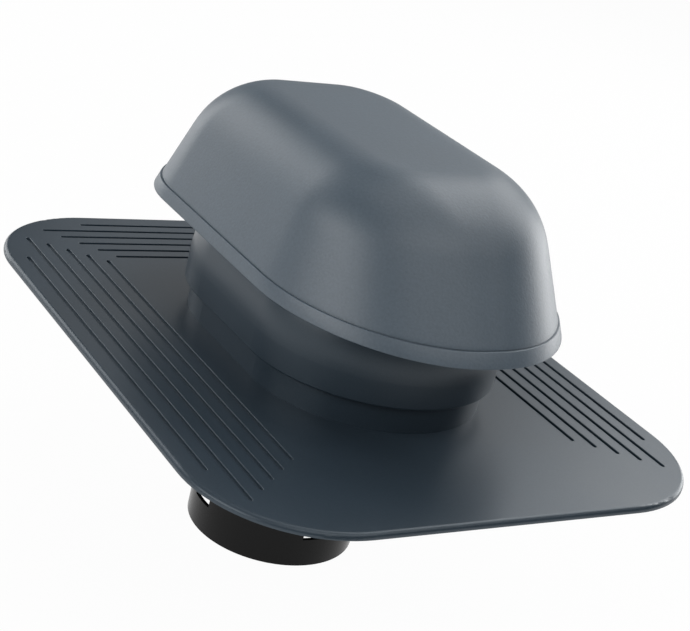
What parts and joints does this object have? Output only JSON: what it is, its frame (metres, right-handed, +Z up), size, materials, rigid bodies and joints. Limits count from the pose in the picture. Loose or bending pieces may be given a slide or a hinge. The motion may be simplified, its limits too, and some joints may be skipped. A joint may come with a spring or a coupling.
{
  "type": "roof vent pipe",
  "caption": "Roof vent with a long rounded hood over a collar, a flat grooved flashing plate and a round duct pipe below.",
  "frame": {"origin": "on the duct's axis at its lower end", "axes": "+Z up out of the roof along the duct, +Y up the slope, along the plate's longer side"},
  "size_m": [0.37, 0.46, 0.3173],
  "materials": {
    "slate_plastic": "fine-textured satin slate grey",
    "black_plastic": "smooth satin black",
    "seal_rubber": "matt black rubber",
    "screw_steel": "bright stainless steel"
  },
  "bodies": {
    "root": {"flange_plate": "slate_plastic", "neck_seal": "seal_rubber", "collar": "slate_plastic", "collar_screws": "screw_steel", "duct_seal": "seal_rubber", "duct_pipe": "black_plastic", "insect_screen": "black_plastic", "hood": "slate_plastic", "hood_screws": "screw_steel"}
  },
  "joints": []
}
